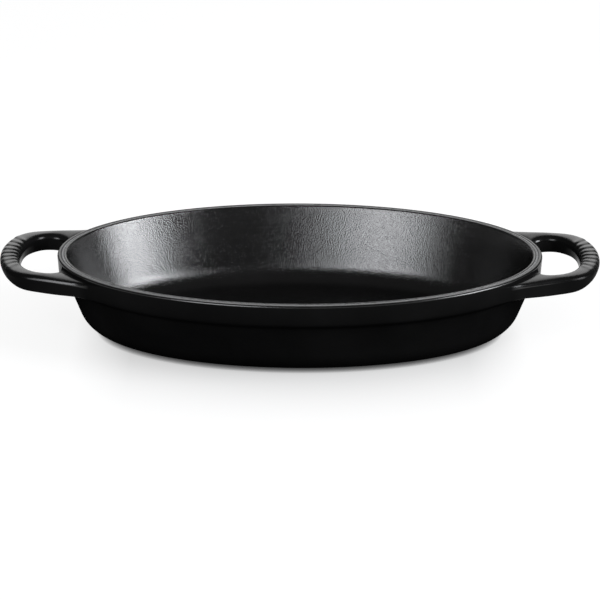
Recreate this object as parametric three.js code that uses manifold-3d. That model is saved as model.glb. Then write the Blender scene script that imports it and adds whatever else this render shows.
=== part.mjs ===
// Oval baking dish: one grey-iron casting with a loop handle at each end, under fired coats of enamel.
// Millimetres, +Z up. The origin is the middle of the foot on the table, and +X runs out through a handle.
import * as THREE from "three";
import { mergeVertices } from "three/addons/utils/BufferGeometryUtils.js";
import Module from "manifold-3d";

const wasm = await Module();
wasm.setup();

const { degToRad } = THREE.MathUtils;

// Outside of the bowl
const RIM_LENGTH = 365; // over the rim along X
const RIM_WIDTH = 240; // over the rim along Y
const DISH_HEIGHT = 62; // table to rim
const RIM_OUTER_RADIUS = 2;
const BAND_HEIGHT = 14.2; // the thick band under the rim, which carries the handles
const BAND_LEAN = 1; // the band's lower edge stands in this far from the rim
const BAND_EDGE_RADIUS = 3.4;
const STEP_DEPTH = 6.2; // from the band's lower edge in to the wall
const STEP_DROP = 4;
const STEP_RADIUS = 4;
const WALL_DRAFT = degToRad(20.5);
const BASE_RADIUS = 25;

// Inside of the bowl
const RIM_THICKNESS = 7;
const RIM_INNER_RADIUS = 1.4;
const INNER_DRAFT = degToRad(19.5);
const FLOOR_THICKNESS = 5; // enamelled floor over the recess under the base
const FLOOR_RADIUS = 20;

// Foot ring under the base
const FOOT_HEIGHT = 1; // the recess inside the ring is this deep
const FOOT_MARGIN = 3.5; // from the end of the base's curve in to the ring
const FOOT_WIDTH = 12;

// Enamel
const ENAMEL = 0.5;
const OUTER_LAP = 0.7; // the outside coat runs this far onto the rim land
const INNER_LAP = 0.4; // the inside coat runs this far onto the rim land
const FOOT_STOP = 0.4; // coats end this far above the land of the foot

// Loop handles
const HANDLE_REACH = 42.4; // rim's end to the handle's tip
const HANDLE_WIDTH = 113.6; // over both arms at the rim's end
const HANDLE_LEAN = degToRad(14); // each arm leans in towards the tip
const HANDLE_THICKNESS = 11.5;
const HANDLE_EDGE_RADIUS = 2.4;
const HANDLE_DROP = 2.7; // rim to the handle's top, at the rim's end
const HANDLE_RISE = degToRad(3.8); // the loop slopes up to its tip
const ARM_WIDTH = 13.2; // across an arm, seen from above
const GRIP_WIDTH = 15; // across the grip at its tip, seen from above
const GRIP_BEND = 25; // an arm starts to bend into the grip this far before the tip
const GRIP_FULLNESS = 0.64; // how squarely that bend fills its corner
const HOLE_BEND = 12.5; // the same two for the finger hole
const HOLE_FULLNESS = 0.58;
const NOSE_LENGTH = 24; // the grip's underside curves up to the tip over this length
const NOSE_HEIGHT = 11; // how high that curve climbs
const ROOT_SPREAD = 1.164; // an arm's outer side flares from this far round the oval, where 1 is no flare
const WEB_SPREAD = 0.386; // the same for an arm's inner side, which starts from a web
const ROOT_BURY = 4; // an arm's root lies this deep in the band
const ROOT_RUN = 8; // its plan runs on this far into the bowl before it is cut to the root

// Facets
const OVAL_SEGMENTS = 52;
const ARC_STEP = degToRad(31);
const CURVE_SEGMENTS = 6;
const BEVEL_SEGMENTS = 2;
const WELD = 1e-4; // points this near are one point

const ovalX = RIM_LENGTH / 2;
const ovalY = RIM_WIDTH / 2;
const bandX = ovalX - BAND_LEAN;
const bandY = ovalY - BAND_LEAN;
const vec = (x, y) => new THREE.Vector2(x, y);

// A point of the bowl's section: its inset from the rim's outside, its height, and the radius that rounds it.
const corner = (inset, height, radius = 0) => ({ spot: vec(inset, height), radius });
const onAxis = (height) => vec(ovalY, height);

// The round of one corner between two runs of a line, as points of an arc.
function arcPoints(spot, before, turn, radius) {
  const side = Math.sign(turn);
  const start = spot.clone().addScaledVector(before, -radius * Math.tan(Math.abs(turn) / 2));
  const centre = start.clone().addScaledVector(vec(-before.y, before.x), side * radius);
  const from = start.clone().sub(centre).angle();
  const arc = new THREE.EllipseCurve(centre.x, centre.y, radius, radius, from, from + turn, side < 0);
  return arc.getPoints(Math.ceil(Math.abs(turn) / ARC_STEP));
}

// A run of rounded corners in the section. It moves aside by shift, to the left of its direction, and its rounds
// stay concentric.
function sectionLine(corners, shift) {
  const spots = corners.map((c) => c.spot);
  const along = spots.slice(1).map((p, i) => p.clone().sub(spots[i]).normalize());
  const moved = (spot, run) => spot.clone().addScaledVector(vec(-run.y, run.x), shift);
  const line = [moved(spots[0], along[0])];
  for (let i = 1; i < along.length; i++) {
    const before = along[i - 1];
    const turn = Math.atan2(before.cross(along[i]), before.dot(along[i]));
    const spot = moved(spots[i], before).addScaledVector(before, -shift * Math.tan(turn / 2));
    const radius = corners[i].radius - Math.sign(turn) * shift;
    if (corners[i].radius > 0 && radius > 0) line.push(...arcPoints(spot, before, turn, radius));
    else line.push(spot);
  }
  line.push(moved(spots.at(-1), along.at(-1)));
  return line;
}

// A geometry as a closed solid, its faces turned outwards.
function solid(geometry) {
  geometry.deleteAttribute("normal");
  geometry.deleteAttribute("uv");
  const merged = mergeVertices(geometry, WELD);
  const triVerts = new Uint32Array(merged.index.array);
  const vertProperties = merged.attributes.position.array;
  const made = new wasm.Manifold(new wasm.Mesh({ numProp: 3, vertProperties, triVerts }));
  if (made.volume() > 0) return made;
  triVerts.reverse();
  return new wasm.Manifold(new wasm.Mesh({ numProp: 3, vertProperties, triVerts }));
}

// A section turned about Z and drawn out along X: each level is an ellipse, and the wall keeps its thickness.
function ovalTurn(line) {
  const section = line.map((p) => vec(Math.max(ovalY - p.x, 0), p.y));
  const lathe = new THREE.LatheGeometry(section, OVAL_SEGMENTS).rotateX(Math.PI / 2);
  const position = lathe.attributes.position;
  for (let i = 0; i < position.count; i++) {
    const turn = (Math.floor(i / section.length) / OVAL_SEGMENTS) * 2 * Math.PI;
    position.setX(i, position.getX(i) + (ovalX - ovalY) * Math.sin(turn));
  }
  return solid(lathe);
}

// Finished lines of the section; with a skin, the iron's own line that far under the enamel
const bandFoot = DISH_HEIGHT - BAND_HEIGHT;
const wallTop = bandFoot - STEP_DROP;
const wallInset = BAND_LEAN + STEP_DEPTH;
const baseInset = wallInset + (wallTop - FOOT_HEIGHT) * Math.tan(WALL_DRAFT);
const baseFlat = baseInset + BASE_RADIUS * Math.tan(Math.PI / 4 - WALL_DRAFT / 2);
const footOuter = baseFlat + FOOT_MARGIN;
const footInner = footOuter + FOOT_WIDTH;
const floorTop = FOOT_HEIGHT + FLOOR_THICKNESS;
const floorInset = RIM_THICKNESS + (DISH_HEIGHT - floorTop) * Math.tan(INNER_DRAFT);
const outerLapEnd = RIM_OUTER_RADIUS + OUTER_LAP;
const innerLapEnd = RIM_THICKNESS - RIM_INNER_RADIUS - INNER_LAP;

function outsideLine(skin) {
  const corners = [
    corner(footOuter, FOOT_STOP),
    corner(footOuter, FOOT_HEIGHT),
    corner(baseInset, FOOT_HEIGHT, BASE_RADIUS),
    corner(wallInset, wallTop, STEP_RADIUS),
    corner(BAND_LEAN, bandFoot, BAND_EDGE_RADIUS),
    corner(0, DISH_HEIGHT, RIM_OUTER_RADIUS),
    corner(outerLapEnd, DISH_HEIGHT),
  ];
  return sectionLine(corners, -skin);
}

function insideLine(skin) {
  const corners = [
    corner(innerLapEnd, DISH_HEIGHT),
    corner(RIM_THICKNESS, DISH_HEIGHT, RIM_INNER_RADIUS),
    corner(floorInset, floorTop, FLOOR_RADIUS),
    corner(ovalY, floorTop),
  ];
  return sectionLine(corners, -skin);
}

function recessLine(skin) {
  const corners = [
    corner(ovalY, FOOT_HEIGHT),
    corner(footInner, FOOT_HEIGHT),
    corner(footInner, FOOT_STOP),
  ];
  return sectionLine(corners, -skin);
}

// How far round the oval a straight line out of the bowl leaves the band.
function bandTurn(start, along) {
  const band = vec(bandX, bandY);
  const from = start.clone().divide(band);
  const run = along.clone().divide(band);
  const middle = from.dot(run) / run.lengthSq();
  const half = Math.sqrt(middle ** 2 - (from.lengthSq() - 1) / run.lengthSq());
  return from.addScaledVector(run, half - middle).angle();
}

// Half the plan of a handle's outside or finger hole: a flare out of the band, a leaning arm, a bend, a tip.
function halfPlan({ spread, armInset, tipInset, bendLength, fullness }) {
  const lean = vec(Math.cos(HANDLE_LEAN), -Math.sin(HANDLE_LEAN));
  const start = vec(ovalX, HANDLE_WIDTH / 2).addScaledVector(vec(lean.y, -lean.x), armInset);
  const flare = spread * bandTurn(start, lean);
  const root = vec(bandX * Math.cos(flare), bandY * Math.sin(flare));
  const round = vec(bandX * Math.sin(flare), -bandY * Math.cos(flare)).normalize();
  const reach = start.clone().sub(root).cross(lean) / round.cross(lean);
  const meet = root.clone().addScaledVector(round, reach);
  const leave = meet.clone().addScaledVector(lean, Math.abs(reach));
  const deep = root.clone().addScaledVector(root.clone().normalize(), -ROOT_RUN);
  const tip = vec(ovalX + HANDLE_REACH - tipInset, 0);
  const armEnd = Math.max(tip.x - bendLength, leave.x);
  const bend = start.clone().addScaledVector(lean, (armEnd - start.x) / lean.x);
  const armPull = bend.clone().addScaledVector(lean, ((tip.x - armEnd) / lean.x) * fullness);
  const tipPull = vec(tip.x, bend.y * fullness);
  return { deep, root, meet, leave, bend, armPull, tipPull, tip };
}

function loopPath(path, { deep, root, meet, leave, bend, armPull, tipPull, tip }) {
  path.moveTo(deep.x, -deep.y);
  path.lineTo(root.x, -root.y);
  path.quadraticCurveTo(meet.x, -meet.y, leave.x, -leave.y);
  path.lineTo(bend.x, -bend.y);
  path.bezierCurveTo(armPull.x, -armPull.y, tipPull.x, -tipPull.y, tip.x, tip.y);
  path.bezierCurveTo(tipPull.x, tipPull.y, armPull.x, armPull.y, bend.x, bend.y);
  path.lineTo(leave.x, leave.y);
  path.quadraticCurveTo(meet.x, meet.y, root.x, root.y);
  path.lineTo(deep.x, deep.y);
  return path;
}

// The plan given its thickness and round edges, with its top at height 0 and the rim's end at x 0.
function loopPlate(skin) {
  const outside = halfPlan({
    spread: ROOT_SPREAD,
    armInset: 0,
    tipInset: 0,
    bendLength: GRIP_BEND,
    fullness: GRIP_FULLNESS,
  });
  const hole = halfPlan({
    spread: WEB_SPREAD,
    armInset: ARM_WIDTH,
    tipInset: GRIP_WIDTH,
    bendLength: HOLE_BEND,
    fullness: HOLE_FULLNESS,
  });
  const plan = loopPath(new THREE.Shape(), outside);
  plan.holes.push(loopPath(new THREE.Path(), hole));
  const plate = new THREE.ExtrudeGeometry(plan, {
    depth: HANDLE_THICKNESS - 2 * HANDLE_EDGE_RADIUS,
    curveSegments: CURVE_SEGMENTS,
    bevelSegments: BEVEL_SEGMENTS,
    bevelSize: HANDLE_EDGE_RADIUS - skin,
    bevelThickness: HANDLE_EDGE_RADIUS - skin,
    bevelOffset: -HANDLE_EDGE_RADIUS,
  });
  return plate.translate(-ovalX, 0, HANDLE_EDGE_RADIUS - HANDLE_THICKNESS);
}

// What is cut away below the grip, so that its underside curves up to the tip.
function underNose(skin) {
  const low = -HANDLE_THICKNESS;
  const past = HANDLE_REACH + HANDLE_EDGE_RADIUS;
  const start = HANDLE_REACH - NOSE_LENGTH;
  const side = new THREE.Shape();
  side.moveTo(start, low - HANDLE_EDGE_RADIUS);
  side.lineTo(start, low);
  side.quadraticCurveTo(start + NOSE_LENGTH / 2, low, past, low + NOSE_HEIGHT);
  side.lineTo(past, low - HANDLE_EDGE_RADIUS);
  const cutter = new THREE.ExtrudeGeometry(side, {
    depth: HANDLE_WIDTH,
    curveSegments: CURVE_SEGMENTS,
    bevelEnabled: false,
  });
  return cutter.rotateX(Math.PI / 2).translate(-skin, HANDLE_WIDTH / 2, skin);
}

// All that lies above the band's lower edge: the undersides of the handles run level with it at their roots.
function aboveBand(skin) {
  const reach = RIM_LENGTH + RIM_WIDTH + HANDLE_WIDTH + HANDLE_REACH;
  const block = new THREE.BoxGeometry(reach, reach, DISH_HEIGHT);
  return solid(block.translate(0, 0, bandFoot + skin + DISH_HEIGHT / 2));
}

// Both loop handles, at one end and, half a turn round, at the other.
function handles(skin) {
  const placed = (geometry, turn) => {
    geometry.rotateY(-HANDLE_RISE);
    geometry.translate(ovalX, 0, DISH_HEIGHT - HANDLE_DROP);
    return solid(geometry.rotateZ(turn));
  };
  const handle = (turn) => placed(loopPlate(skin), turn).subtract(placed(underNose(skin), turn));
  return handle(0).add(handle(Math.PI)).intersect(aboveBand(skin));
}

// The casting
const ironRecess = recessLine(ENAMEL);
const ironOutside = outsideLine(ENAMEL);
const ironInside = insideLine(ENAMEL);
const footLand = [vec(footInner - ENAMEL, 0), vec(footOuter + ENAMEL, 0)];
const ironHandles = handles(ENAMEL);
const withinBand = [
  onAxis(0),
  vec(ROOT_BURY, 0),
  vec(ROOT_BURY, DISH_HEIGHT),
  onAxis(DISH_HEIGHT),
];
const roots = ironHandles.subtract(ovalTurn(withinBand));
const casting = ovalTurn([...ironRecess, ...footLand, ...ironOutside, ...ironInside]).add(roots);

// The outside coat: all that the finished outside holds beyond the iron
const midFloor = FOOT_HEIGHT + FLOOR_THICKNESS / 2;
const midFoot = footOuter + FOOT_WIDTH / 2;
const midBand = DISH_HEIGHT - BAND_HEIGHT / 2;
const finished = ovalTurn([
  onAxis(midFloor),
  vec(midFoot, midFloor),
  vec(midFoot, FOOT_STOP),
  ...outsideLine(0),
  vec(outerLapEnd, midBand),
  onAxis(midBand),
]);
const filledIron = ovalTurn([...ironRecess, ...footLand, ...ironOutside, onAxis(DISH_HEIGHT - ENAMEL)]);
const outsideCoat = finished.add(handles(0)).subtract(filledIron.add(ironHandles));

// The coats inside the bowl and in the recess under its base
const insideCoat = ovalTurn([...ironInside, ...insideLine(0).reverse(), ironInside[0]]);
const recessCoat = ovalTurn([...ironRecess, ...recessLine(0).reverse()]);

// Finishes
const groundCoat = new THREE.MeshStandardMaterial({ color: 0x2b2b2b, roughness: 0.7, metalness: 0.4 });
const satinBlack = new THREE.MeshStandardMaterial({ color: 0x161616, roughness: 0.42, metalness: 0 });
const glossBlack = new THREE.MeshStandardMaterial({ color: 0x101010, roughness: 0.25, metalness: 0 });

const dish = new THREE.Group();
dish.name = "oval_baking_dish";

function addNode(name, made, material) {
  const { vertProperties, triVerts } = made.getMesh();
  const geometry = new THREE.BufferGeometry();
  geometry.setAttribute("position", new THREE.BufferAttribute(vertProperties, 3));
  geometry.setIndex(new THREE.BufferAttribute(triVerts, 1));
  geometry.computeVertexNormals();
  const mesh = new THREE.Mesh(geometry, material);
  mesh.name = name;
  dish.add(mesh);
}

addNode("cast_iron_body", casting, groundCoat);
addNode("interior_enamel", insideCoat, satinBlack);
addNode("exterior_enamel", outsideCoat, glossBlack);
addNode("base_enamel", recessCoat, glossBlack);

export default dish;
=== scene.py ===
"""Oval baking dish in enamelled cast iron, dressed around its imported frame.

Sizes are in millimetres until a mesh is finished, then in metres. X runs out through the
handles and the foot stands on Z = 0, as in the frame.
"""

import logging
import math
from dataclasses import dataclass, field, replace
from enum import Enum

import bmesh
import bpy
from mathutils import Matrix, Vector
from mathutils.geometry import interpolate_bezier


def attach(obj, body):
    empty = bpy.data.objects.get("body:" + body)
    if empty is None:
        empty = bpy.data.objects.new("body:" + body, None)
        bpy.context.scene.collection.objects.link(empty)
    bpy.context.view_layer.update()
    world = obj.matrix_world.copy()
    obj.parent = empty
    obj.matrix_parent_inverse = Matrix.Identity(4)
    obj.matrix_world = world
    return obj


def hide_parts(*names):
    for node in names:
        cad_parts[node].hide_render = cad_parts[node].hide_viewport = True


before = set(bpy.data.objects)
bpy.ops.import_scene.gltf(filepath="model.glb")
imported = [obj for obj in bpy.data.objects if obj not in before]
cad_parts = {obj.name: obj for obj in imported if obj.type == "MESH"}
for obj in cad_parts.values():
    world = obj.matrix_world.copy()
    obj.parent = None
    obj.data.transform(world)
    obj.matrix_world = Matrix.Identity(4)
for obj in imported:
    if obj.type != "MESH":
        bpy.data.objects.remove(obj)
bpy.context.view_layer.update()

LOG = logging.getLogger("oval_baking_dish")
METRE = 0.001  # metres in a millimetre
WELD = 0.005  # points this near are one point
TURN_SLACK = 1e-4  # radians that a turn may be off
TINY = 1e-9
QUARTER = math.pi / 2
FULL = 2 * math.pi
HALF_ROUND = math.pi / 4  # half of an edge's round
CORNER_PULL = 2 / 3  # a soft curve's two pulls lie this far along to its corner

Levels = tuple[tuple[float, float], ...]
Round = tuple[float, float]
Value = bpy.types.NodeSocket | float


class Slot(Enum):
    """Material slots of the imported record."""

    IRON = "ground_coat_iron"
    SATIN = "satin_black_enamel"
    GLOSS = "black_enamel"


class Node(Enum):
    """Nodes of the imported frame."""

    CASTING = "cast_iron_body"
    INSIDE = "interior_enamel"
    OUTSIDE = "exterior_enamel"
    BASE = "base_enamel"


class Sum(Enum):
    """Sums that a Math node works out."""

    ADD = "ADD"
    LESS = "SUBTRACT"
    TIMES = "MULTIPLY"
    OVER = "DIVIDE"
    POWER = "POWER"
    ROOT = "SQRT"
    SIZE = "ABSOLUTE"
    LARGER = "MAXIMUM"


class Space(Enum):
    """Coordinates that the patterns of a material or a world lie in."""

    PIECE = "Object"
    DIRECTION = "Generated"


def smooth_step(value: float) -> float:
    """Eases a share from 0 to 1, level at both ends."""
    t = min(max(value, 0.0), 1.0)
    return t * t * (3 - 2 * t)


def mix(a: float, b: float, share: float) -> float:
    """The value a share of the way from a to b."""
    return a + (b - a) * share


def turn_of(co: Vector) -> float:
    """How far round from +X a point lies."""
    return math.atan2(co.y, co.x)


def rounded(size: Round, share: float) -> tuple[float, float]:
    """A point on the round of an edge.

    Args:
        size: how far the round reaches in from the side, and from the top.
        share: how far along it, from 0 at the side over 1 in its middle to 2 at the top.

    Returns:
        How far the point lies in from the side, and from the top.
    """
    angle = HALF_ROUND * share
    return size[0] * (1 - math.cos(angle)), size[1] * (1 - math.sin(angle))


@dataclass(frozen=True)
class Oval:
    """The rim's plan and the lines inside it."""

    half_length: float = 182.5
    half_width: float = 120.0
    nearing: int = 8  # rounds of nearing in on a nearest point

    def point(self, turn: float, inset: float, out: float = 0.0) -> Vector:
        """A point of the oval.

        Args:
            turn: how far round from +X, in radians of the turning.
            inset: how far the line lies inside the rim.
            out: how far the point stands out from that line.

        Returns:
            The point in plan.
        """
        a = self.half_length - inset
        b = self.half_width - inset
        square = Vector((b * math.cos(turn), a * math.sin(turn))).normalized()
        return Vector((a * math.cos(turn), b * math.sin(turn))) + square * out

    def nearest(self, spot: Vector, inset: float) -> float:
        """Finds the oval's point that lies nearest to a spot in plan.

        Args:
            spot: the spot.
            inset: how far the oval's line lies inside the rim.

        Returns:
            The turn of that point.
        """
        a = self.half_length - inset
        b = self.half_width - inset
        turn = math.atan2(a * spot.y, b * spot.x)
        for _ in range(self.nearing):
            s, c = math.sin(turn), math.cos(turn)
            slope = (a * a - b * b) * c * s - spot.x * a * s + spot.y * b * c
            bend = (a * a - b * b) * (c * c - s * s) - spot.x * a * c - spot.y * b * s
            turn -= slope / bend
        return turn

    def clearance(self, spot: Vector, inset: float) -> float:
        """How far a spot in plan stands outside the oval, below 0 where it lies inside."""
        away = spot - self.point(self.nearest(spot, inset), inset)
        return math.copysign(away.length, away.dot(spot))

    def stretch(self, bm: bmesh.types.BMesh, level_radius: float = 0.0) -> None:
        """Draws a round turning out along X into the oval.

        Args:
            bm: the turning, with a radius of half_width less the inset.
            level_radius: inside this radius the lines shrink evenly to the middle.
        """
        spare = self.half_length - self.half_width
        for v in bm.verts:
            radius = math.hypot(v.co.x, v.co.y)
            if radius > WELD:
                share = min(1.0, radius / level_radius) if level_radius else 1.0
                v.co.x *= 1 + spare * share / radius


@dataclass(frozen=True)
class Corner:
    """One corner of a section line, and the round on it."""

    inset: float  # from the rim in
    height: float
    radius: float = 0.0
    steps: int = 4  # facets of the round

    @property
    def spot(self) -> Vector:
        """The corner in the section's plane."""
        return Vector((self.inset, self.height))


@dataclass(frozen=True)
class Section:
    """A line of rounded corners that is turned about Z and drawn out into the oval."""

    oval: Oval
    corners: tuple[Corner, ...]
    longest_run: float = 6.0  # longer runs are divided

    def round_length(self, index: int) -> float:
        """Works out how far a corner's round reaches along the runs on both sides.

        Args:
            index: the corner's place in the line.

        Returns:
            That length.
        """
        here = self.corners[index]
        before = (here.spot - self.corners[index - 1].spot).normalized()
        after = (self.corners[index + 1].spot - here.spot).normalized()
        return here.radius * math.tan(before.angle(after) / 2)

    def round_end(self, index: int, side: int) -> Vector:
        """Works out where a corner's round meets a run.

        Args:
            index: the corner's place in the line.
            side: -1 for the run before it, 1 for the run after it.

        Returns:
            The inset and height of that point.
        """
        here = self.corners[index].spot
        along = (self.corners[index + side].spot - here).normalized()
        return here + along * self.round_length(index)

    def draw(self, bm: bmesh.types.BMesh) -> None:
        """Draws the line in the XZ plane, its corners rounded and its long runs divided.

        Args:
            bm: the empty mesh that gets the line.
        """
        middle = self.oval.half_width
        verts = [bm.verts.new((middle - c.inset, 0, c.height)) for c in self.corners]
        for a, b in zip(verts, verts[1:]):
            bm.edges.new((a, b))
        for index, (corner, vert) in enumerate(zip(self.corners, verts)):
            if corner.radius:
                bmesh.ops.bevel(
                    bm,
                    geom=[vert],
                    offset=self.round_length(index),
                    offset_type="OFFSET",
                    segments=corner.steps,
                    profile=0.5,
                    affect="VERTICES",
                    clamp_overlap=False,
                    material=-1,
                )
        for edge in bm.edges[:]:
            cuts = math.ceil(edge.calc_length() / self.longest_run) - 1
            if cuts > 0:
                bmesh.ops.subdivide_edges(bm, edges=[edge], cuts=cuts)

    def turned(self, angle: float, steps: int) -> bmesh.types.BMesh:
        """Turns the line about Z.

        Args:
            angle: the turn in radians, a full one closed on itself.
            steps: facets in that turn.

        Returns:
            The round turning, not yet drawn out.
        """
        bm = bmesh.new()
        self.draw(bm)
        bmesh.ops.spin(
            bm,
            geom=bm.verts[:] + bm.edges[:],
            axis=(0, 0, 1),
            cent=(0, 0, 0),
            angle=angle,
            steps=steps,
            use_merge=angle > math.pi,
        )
        bmesh.ops.remove_doubles(bm, verts=bm.verts, dist=WELD)
        return bm


class PlanCurve:
    """A smooth curve in plan, measured along its length."""

    def __init__(self, points: list[Vector]) -> None:
        """Takes the curve's shape.

        Args:
            points: closely spaced points of the curve, in order.
        """
        self.points = points
        self.runs = [0.0]
        for a, b in zip(points, points[1:]):
            self.runs.append(self.runs[-1] + (b - a).length)

    @property
    def length(self) -> float:
        """The curve's whole length."""
        return self.runs[-1]

    def at(self, run: float) -> Vector:
        """Finds a point of the curve.

        Args:
            run: its length along the curve.

        Returns:
            The point.
        """
        for i in range(1, len(self.runs)):
            if run <= self.runs[i]:
                share = (run - self.runs[i - 1]) / (self.runs[i] - self.runs[i - 1])
                return self.points[i - 1].lerp(self.points[i], share)
        return self.points[-1].copy()

    def leaves(self, oval: Oval, inset: float, clearance: float) -> float:
        """Finds where the curve first stands clear of the oval.

        Args:
            oval: the oval.
            inset: how far the oval's line lies inside the rim.
            clearance: how far the curve has to stand outside that line.

        Returns:
            The length along the curve.
        """
        last = 0.0
        for i, p in enumerate(self.points):
            now = oval.clearance(p, inset)
            if now >= clearance and i:
                share = (clearance - last) / max(now - last, TINY)
                return mix(self.runs[i - 1], self.runs[i], min(max(share, 0.0), 1.0))
            last = now
        return self.length


@dataclass(frozen=True)
class BandProfile:
    """The band's section, as heights and insets from its lower edge up."""

    line: Levels

    def inset(self, height: float) -> float:
        """Finds the band's inset at a height.

        Args:
            height: the height.

        Returns:
            The inset, held below and above the band.
        """
        for (z0, i0), (z1, i1) in zip(self.line, self.line[1:]):
            if height <= z1:
                return mix(i0, i1, (height - z0) / (z1 - z0)) if height >= z0 else i0
        return self.line[-1][1]


@dataclass(frozen=True)
class ArmLine:
    """One side of a loop handle in plan: its outside, or its finger hole."""

    turn: float  # how far round the oval it leaves the band
    splay: float  # the angle at which it leaves the band
    flare: float  # how far along the arm it takes to straighten
    inset: float  # how far it lies inside the arm's outer side
    tip_inset: float  # the same at the tip
    bend: float  # how far before its tip it starts to bend
    fullness: float  # how squarely that bend fills its corner


@dataclass(frozen=True)
class Station:
    """The place of one cross-section of a loop handle."""

    inner: Vector  # its end at the finger hole, in plan
    outer: Vector  # its end at the outside, in plan
    clearance: float  # how far it stands off the band
    hug: float  # how closely it follows the band, from 1 at the root to 0 on the free arm
    grip: float  # how far the arm has turned into the grip, from 0 to 1
    rib: float  # 1 on the crest of a rib, 0 beside it


@dataclass(frozen=True)
class LoopHandle:
    """A loop handle that grows out of the band, with a plain ribbed grip."""

    oval: Oval
    band_inset: float = 1.0
    reach: float = 42.38  # rim's end to the handle's tip
    width: float = 115.0  # over both arms at the rim's end
    lean: float = math.radians(14)  # each arm leans in towards the tip
    thickness: float = 11.7
    top: float = 59.6  # height of the top at the rim's end
    rise: float = math.radians(3.8)  # the loop slopes up to its tip
    arm_width: float = 13.2
    grip_width: float = 15.0
    grip_bend: float = 25.0  # an arm starts to bend into the grip this far before the tip
    grip_fullness: float = 0.64  # how squarely that bend fills its corner
    hole_bend: float = 19.0  # the same two for the finger hole
    hole_fullness: float = 0.56
    flare_run: float = 14.7  # how far along an arm its outer flare reaches
    web_run: float = 15.0  # how far along an arm the web in the finger hole reaches
    web_splay: float = math.radians(32)  # the angle at which that web leaves the band
    nose_length: float = 24.0  # the grip's underside curves up to the tip over this length
    nose_height: float = 11.0  # how high that curve climbs
    nose_past: float = 2.4  # how far past the tip it would end
    under: float = 47.8  # lowest height of the underside
    under_soft: float = 0.4  # how softly it levels out there
    under_ease: float = 0.9  # how far it sinks along the band
    cove: float = 2.8  # width of the hollow against the rim, at the finger hole
    outer_cove: float = 11.0  # the same at an arm's outer side
    arm_round: Round = (2.8, 2.5)  # an arm's outer top edge, across and down
    grip_round: Round = (5.0, 3.2)  # the grip's outer top edge
    web_round: Round = (4.2, 3.0)  # an arm's top edge at the finger hole
    palm_round: Round = (5.6, 3.8)  # the grip's top edge at the finger hole
    under_round: Round = (1.3, 1.3)  # all lower edges
    round_root: float = 0.1  # share of these rounds on the band
    round_grown: float = 4.5  # clearance over which they grow by their whole size
    round_share: float = 0.6  # most of a side's height that a top edge takes
    flat_least: float = 0.1  # least height of the flat between both edges
    crown: float = 0.9  # how far an arm's top swells in its middle
    crown_delay: float = 0.2  # how late that starts at the root
    highest: float = 61.97
    grip_gain: float = 1.15  # how fast an arm turns into the grip
    grip_delay: float = 0.12  # how late that starts
    rib_sunk: float = 0.5  # share of a rib that lies below the grip's top
    rib_pitch: float = 7.8
    rib_crest: float = 1.7  # half a rib's width at its crest
    rib_foot: float = 2.7  # half a rib's width at its foot
    rib_count: int = 4  # ribs on each side of the middle one
    rib_height: float = 0.9
    rib_margin: float = 0.04  # share of the width that ribs leave plain at both edges
    rib_fade: float = 0.14  # share of the width over which they rise from there
    clearances: tuple[float, ...] = (0.12, 0.35, 0.7, 1.15, 1.7, 2.4, 3.3, 4.4, 5.8, 7.4)
    arm_stations: int = 9  # cross-sections of the free arm before its ribs
    round_steps: int = 2  # facets of half an edge's round
    curve_points: int = 60  # points of each curve in plan
    fine_steps: int = 400  # parts in which the free arm is measured

    def half_plan(self, side: ArmLine) -> PlanCurve:
        """Draws half of one side, from its root on the band to the middle of the grip.

        Args:
            side: the side's sizes.

        Returns:
            The curve.
        """
        along = Vector((math.cos(self.lean), -math.sin(self.lean)))
        across = Vector((along.y, -along.x))
        start = Vector((self.oval.half_length, self.width / 2)) + across * side.inset
        a = self.oval.half_length - self.band_inset
        b = self.oval.half_width - self.band_inset
        s, c = math.sin(side.turn), math.cos(side.turn)
        root = Vector((a * c, b * s))
        round_way = Vector((a * s, -b * c)).normalized()
        round_way.rotate(Matrix.Rotation(-side.splay, 2))
        reach = (start - root).cross(along) / round_way.cross(along)
        meet = root + round_way * reach
        leave = meet + along * min(abs(reach), side.flare)
        tip = Vector((self.oval.half_length + self.reach - side.tip_inset, 0))
        arm_end = max(tip.x - side.bend, leave.x)
        elbow = start + along * ((arm_end - start.x) / along.x)
        pull = elbow + along * ((tip.x - arm_end) / along.x * side.fullness)
        tip_pull = Vector((tip.x, elbow.y * side.fullness))
        flare = (root, root.lerp(meet, CORNER_PULL), leave.lerp(meet, CORNER_PULL), leave)
        bend = (elbow, pull, tip_pull, tip)
        line = []
        for pulls in (flare, bend):
            curve = interpolate_bezier(*(p.to_3d() for p in pulls), self.curve_points)
            joined = line and (curve[0] - line[-1]).length <= WELD
            line += curve[1:] if joined else curve
        return PlanCurve([p.to_2d() for p in line])

    def top_at(self, spot: Vector) -> float:
        """Height of the flat top's plane over a spot in plan."""
        return self.top + (spot.x - self.oval.half_length) * math.tan(self.rise)

    def under_at(self, spot: Vector) -> float:
        """Works out the height of the underside.

        Args:
            spot: the place in plan.

        Returns:
            The height there.
        """
        low = self.top_at(spot) - self.thickness
        soft = math.hypot(low - self.under, self.under_soft) - self.under_soft
        low = (low + self.under + soft) / 2
        past = spot.x - self.oval.half_length - self.reach + self.nose_length
        if past > 0:
            run = math.sqrt(self.nose_length**2 + 4 * self.nose_past * past) - self.nose_length
            low += self.nose_height * (run / (2 * self.nose_past)) ** 2
        return low

    def cove_at(self, spot: Vector, seam: Vector, across: float) -> float:
        """Works out how far the hollow against the rim lifts the top.

        Args:
            spot: the place in plan.
            seam: inset and height of the line where the rim's round starts.
            across: how far across the arm the place lies, from the finger hole.

        Returns:
            The lift.
        """
        tall = seam.y - self.top_at(spot)
        reach = mix(self.cove, self.outer_cove, across * across)
        away = self.oval.clearance(spot, seam.x) / reach
        if away >= 1:
            return 0.0
        return tall * (1 - math.sqrt(max(0.0, 1 - (1 - max(away, 0.0)) ** 2)))

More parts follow.
